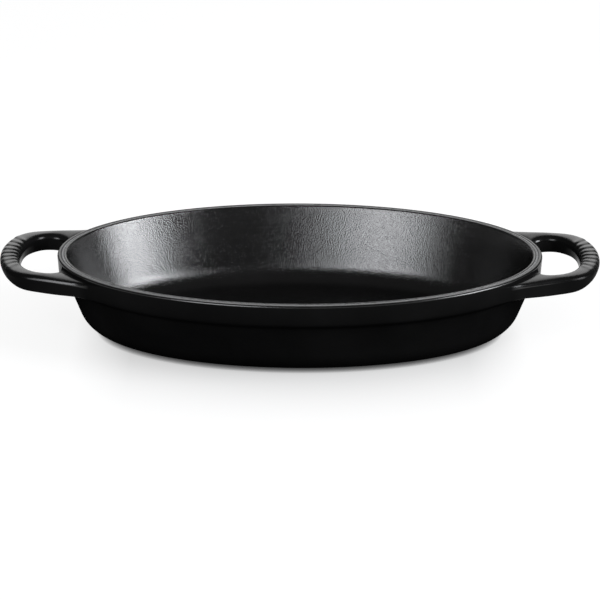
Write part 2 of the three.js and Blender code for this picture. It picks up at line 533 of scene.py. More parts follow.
    def stations(self, inner_turn: float, outer_turn: float) -> list[Station]:
        """Places the cross-sections from the root to the middle of the grip.

        Args:
            inner_turn: how far round the oval the finger hole's side leaves the band.
            outer_turn: the same for the outer side.

        Returns:
            The stations in order.
        """
        outside = ArmLine(
            turn=outer_turn,
            splay=0.0,
            flare=self.flare_run,
            inset=0.0,
            tip_inset=0.0,
            bend=self.grip_bend,
            fullness=self.grip_fullness,
        )
        hole = ArmLine(
            turn=inner_turn,
            splay=self.web_splay,
            flare=self.web_run,
            inset=self.arm_width,
            tip_inset=self.grip_width,
            bend=self.hole_bend,
            fullness=self.hole_fullness,
        )
        sides = (self.half_plan(hole), self.half_plan(outside))
        made = []
        starts = []
        for clearance in self.clearances:
            starts = [side.leaves(self.oval, self.band_inset, clearance) for side in sides]
            inner, outer = (side.at(start) for side, start in zip(sides, starts))
            hug = 1 - smooth_step(clearance / self.clearances[-1])
            made.append(Station(inner, outer, clearance, hug, grip=0.0, rib=0.0))
        return made + self.free_stations(sides, starts)

    def free_stations(
        self, sides: tuple[PlanCurve, PlanCurve], starts: list[float]
    ) -> list[Station]:
        """Places the cross-sections of the free arm and the grip.

        Args:
            sides: the finger hole's side and the outer side, in plan.
            starts: the lengths along them where the arm is free of the band.

        Returns:
            The stations in order.
        """
        pairs = []
        for i in range(self.fine_steps + 1):
            share = i / self.fine_steps
            runs = (mix(start, side.length, share) for side, start in zip(sides, starts))
            pairs.append([side.at(run) for side, run in zip(sides, runs)])
        middle = [(a + b) / 2 for a, b in pairs]
        left = [0.0]
        for a, b in zip(middle[::-1], middle[-2::-1]):
            left.append(left[-1] + (b - a).length)
        left.reverse()
        made = []
        for way, rib in self.free_ways(left[0]):
            near = min(range(len(left)), key=lambda i: abs(left[i] - way))
            inner, outer = pairs[near]
            if way == 0:
                inner, outer = Vector((inner.x, 0)), Vector((outer.x, 0))
            grip = smooth_step(self.grip_gain * (1 - way / left[0]) - self.grip_delay)
            made.append(Station(inner, outer, self.clearances[-1], hug=0.0, grip=grip, rib=rib))
        return made

    def free_ways(self, whole: float) -> list[tuple[float, float]]:
        """Spaces the cross-sections of the free arm and the grip, closer at the ribs.

        Args:
            whole: the length from the band to the middle of the grip.

        Returns:
            Lengths left to the middle of the grip, each with 1 on a rib's crest or 0 beside it.
        """
        foot, crest = self.rib_foot, self.rib_crest
        ribs = []
        for k in range(self.rib_count + 1):
            for off, high in ((-foot, 0.0), (-crest, 1.0), (crest, 1.0), (foot, 0.0)):
                way = k * self.rib_pitch + off
                if way > 0:
                    ribs.append((way, high))
        ribs = sorted(ribs, reverse=True) + [(0.0, 1.0)]
        plain = whole - ribs[0][0]
        steps = self.arm_stations + 1
        return [(whole - plain * i / steps, 0.0) for i in range(1, steps)] + ribs


@dataclass(frozen=True)
class ArmSide:
    """One side of a cross-section, between its top edge and its lower edge."""

    high: float
    low: float
    upper: Round  # the top edge's round, across and down
    lower: Round  # the lower edge's round, across and up


class ArmRing:
    """The outline of one cross-section of a loop handle."""

    def __init__(
        self, handle: LoopHandle, station: Station, seam: Vector, band: BandProfile
    ) -> None:
        """Takes the cross-section's place, and what it grows out of.

        Args:
            handle: the loop handle.
            station: the cross-section's place.
            seam: inset and height of the line where the rim's round starts.
            band: the band's section.
        """
        self.handle = handle
        self.station = station
        self.seam = seam
        self.band = band
        ends = (station.inner, station.outer)
        self.turns = [handle.oval.nearest(p, handle.band_inset) for p in ends]
        self.width = (station.outer - station.inner).length
        free = station.clearance / handle.clearances[-1]
        self.swell = smooth_step(mix(-handle.crown_delay, 1.0, free))

    def plan(self, share: float, height: float) -> Vector:
        """Finds a place of the cross-section in plan.

        Args:
            share: how far across the arm, from the finger hole.
            height: its height, by which the band stands in.

        Returns:
            The place.
        """
        station = self.station
        straight = station.inner.lerp(station.outer, share)
        if station.hug <= 0:
            return straight
        turn = mix(*self.turns, share)
        beside = self.handle.oval.point(turn, self.band.inset(height), station.clearance)
        return straight.lerp(beside, station.hug)

    def point(self, share: float, height: float) -> Vector:
        """The outline's point a share across the arm and at a height."""
        spot = self.plan(share, height)
        return Vector((spot.x, spot.y, height))

    def top_at(self, share: float) -> float:
        """Height of the top a share across the arm, without its swelling and ribs."""
        spot = self.plan(share, self.seam.y)
        return self.handle.top_at(spot) + self.handle.cove_at(spot, self.seam, share)

    def under_at(self, share: float) -> float:
        """Height of the underside a share across the arm."""
        low = self.handle.under_at(self.plan(share, self.handle.under))
        return low - self.handle.under_ease * self.station.hug

    def over(self, share: float, drop: float) -> Vector:
        """Finds a point of the top.

        Args:
            share: how far across the arm, from the finger hole.
            drop: how far the round of an edge lowers it.

        Returns:
            The point.
        """
        handle, grip = self.handle, self.station.grip
        crest = 1 - (2 * share - 1) ** 2
        window = smooth_step((share - handle.rib_margin) / handle.rib_fade)
        window *= smooth_step((1 - handle.rib_margin - share) / handle.rib_fade)
        rib = handle.rib_height * (self.station.rib * window - handle.rib_sunk)
        high = self.top_at(share) + (self.swell * handle.crown * (crest - grip) + grip * rib)
        return self.point(share, min(high, handle.highest) - drop)

    def side(self, share: float, arm: Round, grip: Round) -> ArmSide:
        """Works out one side's ends and rounds.

        Args:
            share: 0 for the finger hole's side, 1 for the outer side.
            arm: its top edge's round on an arm.
            grip: the same on the grip.

        Returns:
            The side.
        """
        handle, station = self.handle, self.station
        sunk = handle.rib_height * handle.rib_sunk + handle.crown * self.swell
        high = self.top_at(share) - station.grip * sunk
        low = self.under_at(share)
        size = min(1.0, handle.round_root + station.clearance / handle.round_grown)
        across, down = (mix(a, b, station.grip) * size for a, b in zip(arm, grip))
        down = min(down, handle.round_share * (high - low))
        low_across, up = (r * size for r in handle.under_round)
        up = min(up, high - low - down - handle.flat_least)
        return ArmSide(high, low, (across, down), (low_across, up))

    def across(self, steps: int, inner: Round, outer: Round) -> Levels:
        """Spaces the points of the top or the underside.

        Args:
            steps: parts of the line.
            inner: the edge's round at the finger hole.
            outer: the edge's round at the outside.

        Returns:
            Shares across the arm, each with how far the round of an edge moves its point.
        """
        n = self.handle.round_steps
        start, end = inner[0] / self.width, 1 - outer[0] / self.width
        made = []
        for k in range(steps + 1):
            if k <= n:
                step, depth = rounded(inner, 1 + k / n)
                made.append((step / self.width, depth))
            elif k >= steps - n:
                step, depth = rounded(outer, 1 + (steps - k) / n)
                made.append((1 - step / self.width, depth))
            else:
                made.append((mix(start, end, (k - n) / (steps - 2 * n)), 0.0))
        return tuple(made)

    def wall(self, share: float, side: ArmSide, steps: int) -> list[Vector]:
        """Draws one side downwards, without its ends on the top and on the underside.

        Args:
            share: 0 for the finger hole's side, 1 for the outer side.
            side: the side's ends and rounds.
            steps: parts of the line.

        Returns:
            The points in order.
        """
        n = self.handle.round_steps
        made = []
        for j in range(1, steps):
            step = 0.0
            if j <= n:
                step, drop = rounded(side.upper, 1 - j / n)
                height = side.high - drop
            elif j >= steps - n:
                step, lift = rounded(side.lower, 1 - (steps - j) / n)
                height = side.low + lift
            else:
                part = (j - n) / (steps - 2 * n)
                height = mix(side.high - side.upper[1], side.low + side.lower[1], part)
            made.append(self.point(abs(share - step / self.width), height))
        return made

    def outline(self, top_steps: int, side_steps: int) -> list[Vector]:
        """Draws the outline over its top from the finger hole, down, back under it and up.

        Args:
            top_steps: parts of the top and of the underside.
            side_steps: parts of each side.

        Returns:
            The points in order.
        """
        handle = self.handle
        inner = self.side(0.0, handle.web_round, handle.palm_round)
        outer = self.side(1.0, handle.arm_round, handle.grip_round)
        over = self.across(top_steps, inner.upper, outer.upper)
        below = self.across(top_steps, inner.lower, outer.lower)
        points = [self.over(share, drop) for share, drop in over]
        points += self.wall(1.0, outer, side_steps)
        points += [self.point(share, self.under_at(share) + lift) for share, lift in below[::-1]]
        return points + self.wall(0.0, inner, side_steps)[::-1]


@dataclass(frozen=True)
class RootPatch:
    """The patch of the band that an arm grows out of, on the round turning."""

    turns: tuple[float, float]  # where it starts and ends, round the dish
    heights: tuple[float, float]  # its lower and its upper edge
    least_radius: float  # what lies nearer to the middle is no part of it

    def holds(self, co: Vector) -> bool:
        """Tells whether a point lies in the patch or on its edge.

        Args:
            co: the point.

        Returns:
            True if it does.
        """
        in_turn = self.turns[0] - TURN_SLACK < turn_of(co) < self.turns[1] + TURN_SLACK
        in_height = self.heights[0] - WELD < co.z < self.heights[1] + WELD
        return in_turn and in_height and math.hypot(co.x, co.y) > self.least_radius

    def open(self, bm: bmesh.types.BMesh) -> list[bmesh.types.BMVert]:
        """Takes the patch out of the band.

        Args:
            bm: the round turning of a quarter.

        Returns:
            The opening's vertices in the order of a handle's outline.
        """
        low, high = self.heights
        gone = [f for f in bm.faces if self.holds(f.calc_center_median())]
        bmesh.ops.delete(bm, geom=gone, context="FACES")
        edge = [v for v in bm.verts if self.holds(v.co) and v.is_boundary]
        edge.sort(key=lambda v: turn_of(v.co))
        top = [v for v in edge if abs(v.co.z - high) < WELD]
        bottom = [v for v in edge if abs(v.co.z - low) < WELD]
        rest = sorted((v for v in edge if v not in top + bottom), key=lambda v: v.co.z)
        middle = sum(self.turns) / 2
        outer = [v for v in rest if turn_of(v.co) > middle]
        inner = [v for v in rest if turn_of(v.co) < middle]
        return top + outer[::-1] + bottom[::-1] + inner


def grow(
    bm: bmesh.types.BMesh, loop: list[bmesh.types.BMVert], points: list[Vector]
) -> list[bmesh.types.BMVert]:
    """Extrudes the open end of an arm to its next cross-section.

    Args:
        bm: the mesh.
        loop: the open end's vertices in order.
        points: where their copies go.

    Returns:
        The new open end's vertices in order.
    """
    edges = [bm.edges.get((a, b)) for a, b in zip(loop, loop[1:] + loop[:1])]
    grown = bmesh.ops.extrude_edge_only(bm, edges=edges)["geom"]
    fresh = {v for v in grown if isinstance(v, bmesh.types.BMVert)}
    moved = []
    for vert, point in zip(loop, points):
        others = (e.other_vert(vert) for e in vert.link_edges)
        copy = next(v for v in others if v in fresh)
        copy.co = point
        moved.append(copy)
    return moved


@dataclass(frozen=True)
class OutsideForm:
    """The outside of the dish in one skin: base, wall, band, rim edge and both loop handles."""

    oval: Oval
    quarter_steps: int = 32  # facets in a quarter turn
    inner_step: int = 5  # facets from the dish's end to an arm's inner side
    outer_step: int = 14  # facets from the dish's end to its outer side
    edge_corner: int = 4  # place of the band's lower edge in the corners
    rim_corner: int = 5  # place of the rim's outer edge in the corners
    longest_run: float = 3.6
    corners: tuple[Corner, ...] = (
        Corner(44.05, 0.4),
        Corner(44.05, 1.0),
        Corner(23.2, 1.0, 25.0, 9),
        Corner(7.2, 42.3, 4.0, 4),
        Corner(1.2, 46.3, 3.4, 4),
        Corner(0.1, 62.0, 1.3, 5),
        Corner(2.7, 62.0, 0.35, 2),
        Corner(2.8, 61.5),
    )

    @property
    def section(self) -> Section:
        """The outside's section."""
        return Section(self.oval, self.corners, self.longest_run)

    @property
    def step_inset(self) -> float:
        """The inset of the wall's upper end, under the band."""
        return self.corners[self.edge_corner - 1].inset

    def build(self) -> bmesh.types.BMesh:
        """Builds a quarter with half a handle, and mirrors it.

        Returns:
            The open skin in millimetres, facing out.
        """
        bm = self.section.turned(QUARTER, self.quarter_steps)
        self.grow_arm(bm)
        for axis in ("Y", "X"):
            bmesh.ops.mirror(
                bm,
                geom=bm.verts[:] + bm.edges[:] + bm.faces[:],
                matrix=Matrix.Identity(4),
                merge_dist=WELD,
                axis=axis,
            )
        bmesh.ops.remove_doubles(bm, verts=bm.verts, dist=WELD)
        bmesh.ops.recalc_face_normals(bm, faces=bm.faces)
        tip = max(bm.faces, key=lambda f: f.calc_center_median().x)
        if tip.normal.x < 0:
            bmesh.ops.reverse_faces(bm, faces=bm.faces)
        return bm

    def grow_arm(self, bm: bmesh.types.BMesh) -> None:
        """Draws a quarter out into the oval and grows half a handle from its band.

        Args:
            bm: the round turning of a quarter.
        """
        seam = self.section.round_end(self.rim_corner, -1)
        foot = self.section.round_end(self.edge_corner, -1)
        facet = QUARTER / self.quarter_steps
        turns = (self.inner_step * facet, self.outer_step * facet)
        least_radius = self.oval.half_width - self.step_inset
        loop = RootPatch(turns, (foot.y, seam.y), least_radius).open(bm)
        self.oval.stretch(bm)
        handle = LoopHandle(self.oval)
        band = self.band_profile(foot.y, seam.y)
        top_steps = self.outer_step - self.inner_step
        side_steps = len(loop) // 2 - top_steps
        for station in handle.stations(*turns):
            ring = ArmRing(handle, station, seam, band)
            loop = grow(bm, loop, ring.outline(top_steps, side_steps))

    def band_profile(self, low: float, high: float) -> BandProfile:
        """Measures the band's section.

        Args:
            low: height of the lower end of the round on its lower edge.
            high: height of the line where the rim's round starts.

        Returns:
            The band's heights and insets.
        """
        bm = bmesh.new()
        self.section.draw(bm)
        spots = sorted((v.co.z, self.oval.half_width - v.co.x) for v in bm.verts)
        bm.free()
        near = [(z, inset) for z, inset in spots if inset < self.step_inset]
        return BandProfile(tuple(p for p in near if low - WELD <= p[0] <= high + WELD))


def finish_mesh(bm: bmesh.types.BMesh, name: str, flip: bool = False) -> bpy.types.Object:
    """Turns a finished bmesh into an object in metres, smooth all over.

    Args:
        bm: the mesh in millimetres, which is freed.
        name: the piece's name.
        flip: turn every face round.

    Returns:
        The object, at the origin.
    """
    bmesh.ops.scale(bm, vec=(METRE, METRE, METRE), verts=bm.verts)
    if flip:
        bmesh.ops.reverse_faces(bm, faces=bm.faces)
    for f in bm.faces:
        f.smooth = True
    mesh = bpy.data.meshes.new(name)
    bm.to_mesh(mesh)
    bm.free()
    made = bpy.data.objects.new(name, mesh)
    bpy.context.scene.collection.objects.link(made)
    return made


class Nodes:
    """Adds the nodes of one material or world, and joins them."""

    def __init__(self, tree: bpy.types.NodeTree, space: Space) -> None:
        """Starts with the place of a point.

        Args:
            tree: the node tree.
            space: the coordinates that its patterns lie in.
        """
        self.tree = tree
        self.place = self.add("ShaderNodeTexCoord").outputs[space.value]
        apart = self.add("ShaderNodeSeparateXYZ")
        self.link(self.place, apart.inputs["Vector"])
        self.x, self.y, self.z = apart.outputs

    def add(self, kind: str) -> bpy.types.Node:
        """A new node of a kind."""
        return self.tree.nodes.new(kind)

    def link(self, value: Value, socket: bpy.types.NodeSocket) -> None:
        """Joins a socket to another's value, or sets a number on it.

        Args:
            value: the other socket, or the number.
            socket: the socket that takes it.
        """
        if isinstance(value, bpy.types.NodeSocket):
            self.tree.links.new(value, socket)
        else:
            socket.default_value = value

    def joined(self, how: Sum, a: Value, b: Value = 0.0) -> bpy.types.NodeSocket:
        """Works out a sum.

        Args:
            how: what to work out.
            a: its first value.
            b: its second value, where it takes one.

        Returns:
            The outcome.
        """
        node = self.add("ShaderNodeMath")
        node.operation = how.value
        self.link(a, node.inputs[0])
        self.link(b, node.inputs[1])
        return node.outputs[0]

    def product(self, *values: Value) -> bpy.types.NodeSocket:
        """Multiplies two or more values.

        Args:
            values: the values.

        Returns:
            The outcome.
        """
        outcome = self.joined(Sum.TIMES, values[0], values[1])
        for value in values[2:]:
            outcome = self.joined(Sum.TIMES, outcome, value)
        return outcome

    def ranged(
        self,
        value: Value,
        start: float,
        end: float,
        low: float = 0.0,
        high: float = 1.0,
        ease: bool = False,
    ) -> bpy.types.NodeSocket:
        """Carries a value over from one range to another, held at both ends.

        Args:
            value: the value.
            start: where the first range starts.
            end: where it ends.
            low: the outcome at the start.
            high: the outcome at the end.
            ease: leave and reach both ends softly.

        Returns:
            The outcome.
        """
        node = self.add("ShaderNodeMapRange")
        node.interpolation_type = "SMOOTHSTEP" if ease else "LINEAR"
        ends = {"From Min": start, "From Max": end, "To Min": low, "To Max": high}
        for key, number in ends.items():
            node.inputs[key].default_value = number
        self.link(value, node.inputs["Value"])
        return node.outputs["Result"]

    def ramp(self, value: Value, levels: Levels) -> bpy.types.NodeSocket:
        """Reads a grey off a list of levels.

        Args:
            value: the place on the ramp, from 0 to 1.
            levels: places and their greys, in order.

        Returns:
            The grey.
        """
        node = self.add("ShaderNodeValToRGB")
        stops = node.color_ramp.elements
        stops.remove(stops[1])
        for i, (place, grey) in enumerate(levels):
            stop = stops.new(place) if i else stops[0]
            stop.position = place
            stop.color = (grey, grey, grey, 1)
        self.link(value, node.inputs["Fac"])
        return node.outputs["Color"]

    def noise(self, size: float, detail: float) -> bpy.types.NodeSocket:
        """Lays a noise over the surface.

        Args:
            size: the size of its spots in millimetres.
            detail: the count of its finer layers.

        Returns:
            The noise.
        """
        node = self.add("ShaderNodeTexNoise")
        node.inputs["Scale"].default_value = 1 / (size * METRE)
        node.inputs["Detail"].default_value = detail
        self.link(self.place, node.inputs["Vector"])
        return node.outputs["Fac"]

    def bump(
        self, height: bpy.types.NodeSocket, depth: float, under: bpy.types.NodeSocket | None
    ) -> bpy.types.NodeSocket:
        """Gives the surface a fine relief.

        Args:
            height: its pattern.
            depth: its depth in millimetres.
            under: the relief that it lies on.

        Returns:
            The surface's direction.
        """
        node = self.add("ShaderNodeBump")
        node.inputs["Strength"].default_value = 1.0
        node.inputs["Distance"].default_value = depth * METRE
        self.link(height, node.inputs["Height"])
        if under is not None:
            self.link(under, node.inputs["Normal"])
        return node.outputs["Normal"]


@dataclass(frozen=True)
class PaintedSheenMask:
    """Specular level of the outside coat, set by place as painted shade and painted sheen:
    reflections taken off the base, the wall and the grip tips, bright on the rim's edge and on
    top of the arms.
    """

    half_length: float = Oval.half_length
    half_width: float = Oval.half_width
    # Painted shade and sheen by height: no reflection on the base, the wall and the step under
    # the band, a little on the band, bright on the rim's edge.
    body: Levels = ((0, 0.0), (47, 0.0), (50, 0.006), (60.7, 0.016), (61.1, 0.9))  # by height
    # Painted shade and sheen on the arms: little reflection on their sides, bright on their top
    # edges, less on the grip.
    arms: Levels = (  # by height over the arms' sloping plane
        (-12, 0.0),
        (-10, 0.03),
        (-2.5, 0.03),
        (-2, 0.6),
        (0.2, 0.6),
        (1, 0.4),
        (2.5, 0.3),
    )
    arm_plane: float = 47.48  # height of that plane in the middle of the dish
    arm_slope: float = 0.0664
    # The arms' gloss below is their painted sheen.
    band_past: float = 2.2  # past the rim's end, where the arms' gloss starts
    arms_past: float = 6.0  # past the rim's end, where it is whole
    # Painted shade on the grips: the sheen fades towards the tips.
    tip_start: float = 180.0  # along X, where it starts to fade to the tip
    tip_end: float = 204.0
    tip_share: float = 0.2  # share of it that is left there

    def by_height(
        self, nodes: Nodes, height: bpy.types.NodeSocket, zero: float, levels: Levels
    ) -> bpy.types.NodeSocket:
        """Works out the painted sheen at a height.

        Args:
            nodes: the material's nodes.
            height: the height in metres.
            zero: where the levels count from, in millimetres.
            levels: heights and their painted sheen, in order.

        Returns:
            The painted sheen.
        """
        low, high = levels[0][0], levels[-1][0]
        place = nodes.ranged(height, (zero + low) * METRE, (zero + high) * METRE)
        return nodes.ramp(place, tuple(((z - low) / (high - low), gloss) for z, gloss in levels))

    def off_band(self, nodes: Nodes) -> bpy.types.NodeSocket:
        """Works out how far a point stands off the band.

        Args:
            nodes: the material's nodes.

        Returns:
            0 on the band, 1 on the free arms.
        """
        squares = []
        for axis, half in ((nodes.x, self.half_length), (nodes.y, self.half_width)):
            ratio = nodes.joined(Sum.OVER, nodes.joined(Sum.SIZE, axis), half * METRE)
            squares.append(nodes.joined(Sum.POWER, ratio, 2.0))
        ratio = nodes.joined(Sum.ROOT, nodes.joined(Sum.ADD, *squares))
        ends = [1 + past / self.half_length for past in (self.band_past, self.arms_past)]
        return nodes.ranged(ratio, *ends)

    def wire(self, nodes: Nodes) -> bpy.types.NodeSocket:
        """Works out the painted sheen and shade all over the coat.

        Args:
            nodes: the material's nodes.

        Returns:
            The painted sheen.
        """
        away = nodes.joined(Sum.SIZE, nodes.x)
        level = nodes.joined(Sum.LESS, nodes.z, nodes.product(away, self.arm_slope))
        tips = (self.tip_start * METRE, self.tip_end * METRE, 1, self.tip_share)
        arms = nodes.product(
            self.off_band(nodes),
            nodes.ranged(away, *tips),
            self.by_height(nodes, level, self.arm_plane, self.arms),
        )
        return nodes.joined(Sum.LARGER, self.by_height(nodes, nodes.z, 0.0, self.body), arms)


@dataclass(frozen=True)
class Enamel:
    """A fired enamel."""

    name: str
    tone: float
    tone_worn: float  # tone in the paler clouds
    roughness: tuple[float, float]
    ior: float
    # Specular level: one number for an even, real gloss, or a mask by place that paints shade
    # and sheen on the outside coat.
    gloss: float | PaintedSheenMask
    grain: float  # size of the grain
    grain_depth: float
    wave: float  # size of the slow waves under it
    wave_depth: float
    cloud: float = 38.0  # size of the clouds in the tone
    cloud_range: tuple[float, float] = (0.35, 0.7)
    patch: float = 9.0  # size of the patches in the roughness
    patch_range: tuple[float, float] = (0.3, 0.7)
    flat_detail: float = 3.0  # finer layers in clouds and patches
    relief_detail: float = 2.0  # finer layers in grain and waves

    def make(self) -> bpy.types.Material:
        """Builds the node material.

        Returns:
            The material.
        """
        material = bpy.data.materials.new(self.name)
        material.use_nodes = True
        nodes = Nodes(material.node_tree, Space.PIECE)
        shader = material.node_tree.nodes["Principled BSDF"].inputs
        shader["IOR"].default_value = self.ior
        clouds = nodes.noise(self.cloud, self.flat_detail)
        tones = tuple(zip(self.cloud_range, (self.tone, self.tone_worn)))
        nodes.link(nodes.ramp(clouds, tones), shader["Base Color"])
        patches = nodes.noise(self.patch, self.flat_detail)
        rough = nodes.ranged(patches, *self.patch_range, *self.roughness)
        nodes.link(rough, shader["Roughness"])
        # On the outside coat the specular level is painted by place: painted shade below,
        # painted sheen on the rim's edge and the arms.
        gloss = self.gloss.wire(nodes) if isinstance(self.gloss, PaintedSheenMask) else self.gloss
        nodes.link(gloss, shader["Specular IOR Level"])
        waves = nodes.bump(nodes.noise(self.wave, self.relief_detail), self.wave_depth, None)
        grain = nodes.noise(self.grain, self.relief_detail)
        nodes.link(nodes.bump(grain, self.grain_depth, waves), shader["Normal"])
        return material


GLOSS_BLACK = Enamel(
    name="outside_black_enamel",
    tone=0.005,
    tone_worn=0.0072,
    roughness=(0.18, 0.26),
    ior=1.5,
    # Specular level painted by place: reflections taken off the wall as painted shade, painted
    # sheen on the rim's edge and arms.
    gloss=PaintedSheenMask(),
    grain=1.1,
    grain_depth=0.02,
    wave=7.0,
    wave_depth=0.05,
)
SATIN_BLACK = Enamel(
    name="inside_satin_enamel",
    tone=0.0042,
    tone_worn=0.0062,
    roughness=(0.15, 0.19),
    ior=1.6,
    gloss=1.0,
    grain=0.95,
    grain_depth=0.25,
    wave=4.0,
    wave_depth=0.02,
)
GROUND_COAT = Enamel(
    name="ground_coat_on_iron",
    tone=0.2,
    tone_worn=0.26,
    roughness=(0.24, 0.34),
    ior=1.5,
    gloss=1.0,
    grain=0.6,
    grain_depth=0.05,
    wave=3.0,
    wave_depth=0.04,
)


@dataclass
class Dish:
    """The dish: a casting and its three coats."""

    oval: Oval = field(default_factory=Oval)
    coat: float = 0.5
    full_steps: int = 128  # facets in a full turn
    floor_level: float = 70.0  # inside this radius the floor's lines shrink evenly
    base_level: float = 60.0  # the same for the base
    base_run: float = 8.0  # longest run of the base coat's section
    half_height: float = 30.0
    inside: tuple[Corner, ...] = (
        Corner(5.1, 61.5),
        Corner(5.2, 62.0, 0.3, 2),
        Corner(7.0, 62.0, 1.4, 5),
        Corner(26.83, 6.0, 20.0, 9),
        Corner(120.0, 6.0),
    )
    recess: tuple[Corner, ...] = (
        Corner(120.0, 1.0),
        Corner(56.05, 1.0, 0.3, 2),
        Corner(56.05, 0.4),
    )
    iron_rim: Corner = Corner(2.95, 62.0)
    iron_inside: tuple[Corner, ...] = (
        Corner(3.0, 61.88),
        Corner(4.95, 61.88),
        Corner(5.05, 61.5),
        Corner(6.65, 61.5, 0.9, 3),
        Corner(26.48, 5.5, 20.5, 9),
        Corner(120.0, 5.5),
    )
    iron_foot: tuple[Corner, ...] = (
        Corner(44.55, 1.5),
        Corner(44.55, 0.0, 0.4, 2),
        Corner(55.55, 0.0, 0.4, 2),
        Corner(55.55, 1.5),
        Corner(120.0, 1.5),
    )

    def place(
        self, piece: bpy.types.Object, node: Node, slot: Slot, finish: Enamel
    ) -> bpy.types.Object:
        """Sets a piece in the frame in the place of its node, and dresses it.

        Args:
            piece: the piece.
            node: the node that it replaces.
            slot: its material slot in the record; not used.
            finish: its finish.

        Returns:
            The piece.
        """
        piece.data.materials.append(finish.make())
        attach(piece, "root")
        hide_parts(node.value)
        return piece

    def thicken(self, piece: bpy.types.Object, levels: int = 1) -> None:
        """Gives a coat its thickness under its surface, and rounds its facets.

        Args:
            piece: the coat's surface.
            levels: how often its facets are divided.
        """
        wall = piece.modifiers.new("coat", "SOLIDIFY")
        wall.thickness = self.coat * METRE
        wall.offset = -1
        wall.use_even_offset = True
        if levels:
            fine = piece.modifiers.new("fine", "SUBSURF")
            fine.levels = levels
            fine.render_levels = levels

    def turned(self, section: Section, level_radius: float) -> bmesh.types.BMesh:
        """Turns a section into a whole oval.

        Args:
            section: the section.
            level_radius: inside this radius its lines shrink evenly to the middle.

        Returns:
            The oval's surface.
        """
        bm = section.turned(FULL, self.full_steps)
        self.oval.stretch(bm, level_radius)
        return bm

    def lining(
        self, name: str, section: Section, level_radius: float, faces_up: bool
    ) -> bpy.types.Object:
        """Makes the surface of a coat that spans the dish.

        Args:
            name: the piece's name.
            section: the coat's section.
            level_radius: inside this radius its lines shrink evenly to the middle.
            faces_up: the coat's outer face is its upper one.

        Returns:
            The piece.
        """
        bm = self.turned(section, level_radius)
        bmesh.ops.remove_doubles(bm, verts=bm.verts, dist=WELD)
        bmesh.ops.recalc_face_normals(bm, faces=bm.faces)
        middle = min(bm.faces, key=lambda f: f.calc_center_median().length)
        return finish_mesh(bm, name, flip=(middle.normal.z > 0) != faces_up)

    def build_casting(self) -> bpy.types.Object:
        """Builds the iron under the coats, bare on the rim's land and on the foot.

        Returns:
            The piece.
        """
        form = OutsideForm(self.oval)
        bm = replace(
            form,
            corners=(*form.corners[1:-2], self.iron_rim),
            edge_corner=form.edge_corner - 1,
            rim_corner=form.rim_corner - 1,
        ).build()
        bm.normal_update()
        for v in bm.verts:
            v.co -= v.normal * self.coat
        inner = ((self.iron_inside, self.floor_level), (self.iron_foot, self.base_level))
        for corners, level_radius in inner:
            surface = self.turned(Section(self.oval, corners), level_radius)
            spare = bpy.data.meshes.new("turned")
            surface.to_mesh(spare)
            surface.free()
            bm.from_mesh(spare)
            bpy.data.meshes.remove(spare)
        open_edges = [e for e in bm.edges if e.is_boundary]
        for upper in (True, False):
            ring = [e for e in open_edges if (e.verts[0].co.z > self.half_height) == upper]
            bmesh.ops.bridge_loops(bm, edges=ring)
        bmesh.ops.remove_doubles(bm, verts=bm.verts, dist=WELD)
        bmesh.ops.recalc_face_normals(bm, faces=bm.faces)
        piece = finish_mesh(bm, "iron_casting")
        return self.place(piece, Node.CASTING, Slot.IRON, GROUND_COAT)

    def build_outside(self) -> bpy.types.Object:
        """Builds the outside coat, over base, wall, band and handles.

        Returns:
            The piece.
        """
        piece = finish_mesh(OutsideForm(self.oval).build(), "outside_coat")
        self.thicken(piece)
        return self.place(piece, Node.OUTSIDE, Slot.GLOSS, GLOSS_BLACK)

    def build_inside(self) -> bpy.types.Object:
        """Builds the inside coat, from its lap on the rim to the floor.

        Returns:
            The piece.
        """
        section = Section(self.oval, self.inside)
        piece = self.lining("inside_coat", section, self.floor_level, faces_up=True)
        self.thicken(piece)
        return self.place(piece, Node.INSIDE, Slot.SATIN, SATIN_BLACK)

    def build_base(self) -> bpy.types.Object:
        """Builds the coat in the recess under the base.

        Returns:
            The piece.
        """
        section = Section(self.oval, self.recess, self.base_run)
        piece = self.lining("base_coat", section, self.base_level, faces_up=False)
        self.thicken(piece, levels=0)
        return self.place(piece, Node.BASE, Slot.GLOSS, GLOSS_BLACK)


@dataclass(frozen=True)
class View:
    """The photograph's camera, in metres and radians."""

    distance: float = 2.152  # from the middle of the rim's plane
    height: float = 0.062  # of that plane
    elevation: float = math.radians(19.0)
    dip: float = math.radians(0.958)  # how far it looks below that point
    turn: float = math.radians(-0.006)
    roll: float = math.radians(0.226)
    lens: float = 171.62
    sensor: float = 36.0

    def build(self) -> bpy.types.Object:
        """Makes the camera and sets it as the scene's.

        Returns:
            The camera.
        """
        data = bpy.data.cameras.new("camera")
        data.lens = self.lens
        data.sensor_width = self.sensor
        camera = bpy.data.objects.new("camera", data)
        bpy.context.scene.collection.objects.link(camera)
        back = Vector((0, -math.cos(self.elevation), math.sin(self.elevation)))
        place = Vector((0, 0, self.height)) + back * self.distance
        tilt = Matrix.Rotation(QUARTER - self.elevation - self.dip, 4, "X")
        aim = Matrix.Rotation(self.turn, 4, "Z") @ tilt @ Matrix.Rotation(self.roll, 4, "Z")
        camera.matrix_world = Matrix.Translation(place) @ aim
        bpy.context.scene.camera = camera
        return camera


